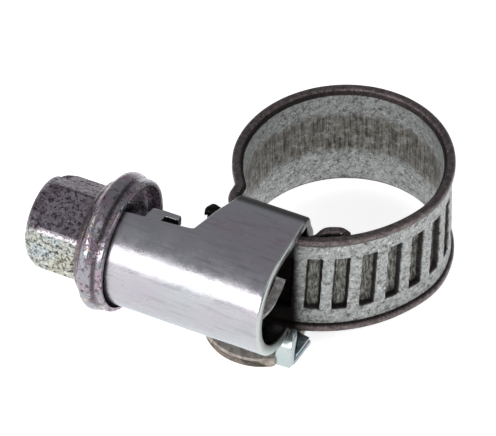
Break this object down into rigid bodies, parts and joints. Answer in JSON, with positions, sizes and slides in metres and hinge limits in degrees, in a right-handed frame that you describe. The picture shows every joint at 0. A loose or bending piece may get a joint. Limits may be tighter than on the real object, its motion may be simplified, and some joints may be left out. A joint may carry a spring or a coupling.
{
  "type": "hose clamp",
  "caption": "Worm-drive hose clamp: a flanged hex screw in a rolled sheet housing draws a grooved metal band tight round a hose.",
  "frame": {"origin": "middle of the bottom of the clamp's bounding box, in the plane of the housing's lower plate", "axes": "+X along the screw from its head to its tip, +Y from the screw to the middle of the ring, +Z along the ring's axis"},
  "size_m": [0.0266, 0.0248, 0.0118],
  "materials": {
    "screw_plating": "zinc plated, dull passivated",
    "housing_plating": "bright zinc plated",
    "band_galvanised": "spangled galvanised"
  },
  "bodies": {
    "clamp_body": {"housing": "housing_plating", "band_loop": "band_galvanised"},
    "screw": {"worm_screw": "screw_plating"},
    "threaded_end": {"band_threaded": "band_galvanised"}
  },
  "joints": [
    {"name": "screw_turn", "type": "hinge", "parent": "clamp_body", "child": "screw", "pos_m": [0, -0.00714, 0.0065], "axis": [1, 0, 0], "range_deg": [0, 720]},
    {"name": "band_feed", "type": "hinge", "parent": "clamp_body", "child": "threaded_end", "pos_m": [0.0029, 0.00521, 0.00555], "axis": [0, 0, -1], "range_deg": [0, 22.5]}
  ],
  "couplings": [
    {"joint": "band_feed", "follows": "screw_turn", "ratio": 0.031}
  ]
}
